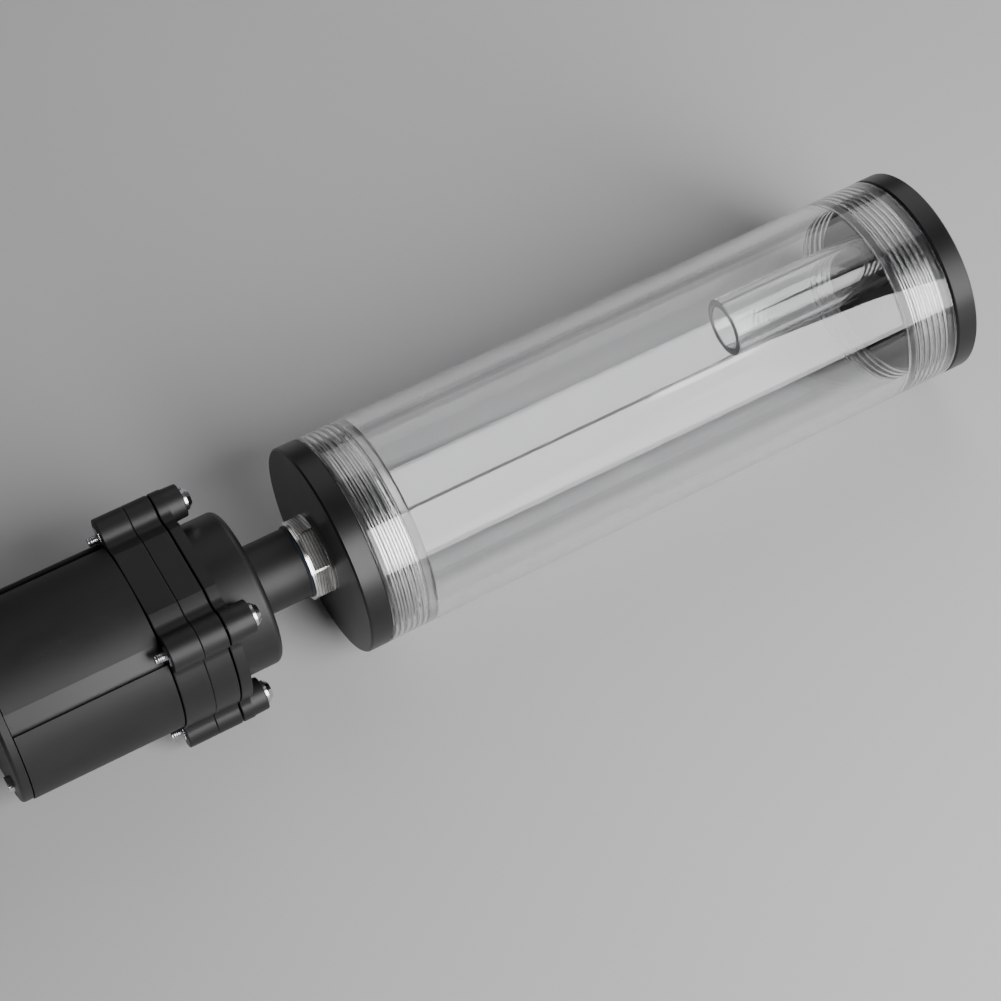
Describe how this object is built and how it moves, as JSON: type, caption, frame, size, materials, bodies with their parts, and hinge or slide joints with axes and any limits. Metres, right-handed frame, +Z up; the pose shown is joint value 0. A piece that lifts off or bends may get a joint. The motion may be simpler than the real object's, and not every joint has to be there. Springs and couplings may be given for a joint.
{
  "type": "coolant pump reservoir",
  "caption": "Clear cylindrical coolant reservoir with black screw-in end caps, joined by a hexagon nipple to a centrifugal pump whose rotor turns inside a sealed can.",
  "frame": {"origin": "under the middle of the whole length, on the surface that the two caps lie on", "axes": "+X along the common axis from the pump to the reservoir, +Z up through the flat of the pump's plates, +Y to the left when looking along +X"},
  "size_m": [0.2972, 0.06, 0.06],
  "materials": {
    "clear_tube": "polished clear acrylic",
    "clear_riser": "polished clear acrylic",
    "cap_black": "polished black acetal",
    "plug_black": "turned black acetal",
    "pump_black": "moulded black, fine grain",
    "inner_plastic": "moulded dark grey",
    "plated_brass": "turned brass, bright nickel plated",
    "screw_steel": "zinc plated steel",
    "seal_rubber": "moulded nitrile",
    "ceramic": "ground ceramic",
    "carbon": "pressed carbon graphite",
    "magnet": "sintered ferrite",
    "lamination": "stacked steel sheet",
    "winding": "enamelled copper wire",
    "board_green": "solder-masked laminate",
    "component_black": "moulded packages"
  },
  "bodies": {
    "pump_and_reservoir": {"reservoir_tube": "clear_tube", "pump_end_cap": "cap_black", "far_end_cap": "cap_black", "pump_end_oring": "seal_rubber", "far_end_oring": "seal_rubber", "riser_tube": "clear_riser", "adapter_nipple": "plated_brass", "adapter_oring_pump": "seal_rubber", "adapter_oring_cap": "seal_rubber", "pump_cover": "pump_black", "pump_oring": "seal_rubber", "isolation_can": "pump_black", "shaft": "ceramic", "shaft_support": "inner_plastic", "front_thrust_washer": "ceramic", "rear_thrust_washer": "ceramic", "motor_plate": "pump_black", "clamp_screws": "screw_steel", "clamp_nuts": "screw_steel", "motor_housing": "pump_black", "stator_core": "lamination", "stator_coils": "winding", "control_board": "board_green", "board_components": "component_black", "rear_cover": "pump_black", "rear_cover_screws": "screw_steel", "cable_gland": "seal_rubber"},
    "rotor": {"impeller": "inner_plastic", "rotor_magnet": "magnet", "front_bush": "carbon", "rear_bush": "carbon"},
    "fill_seal": {"fill_plug_oring": "seal_rubber"},
    "fill_plug": {"fill_plug": "plug_black"}
  },
  "joints": [
    {"name": "rotor_spin", "type": "hinge", "parent": "pump_and_reservoir", "child": "rotor", "pos_m": [-0.1, 0, 0.03], "axis": [1, 0, 0], "continuous": true},
    {"name": "fill_plug_lift", "type": "slide", "parent": "pump_and_reservoir", "child": "fill_seal", "axis": [1, 0, 0], "range_m": [0, 0.00534]},
    {"name": "fill_plug_turn", "type": "hinge", "parent": "fill_seal", "child": "fill_plug", "pos_m": [0.1455, 0, 0.0145], "axis": [1, 0, 0], "range_deg": [0, 1440]}
  ],
  "couplings": [
    {"joint": "fill_plug_turn", "follows": "fill_plug_lift", "rad_per_m": 4699.5}
  ]
}
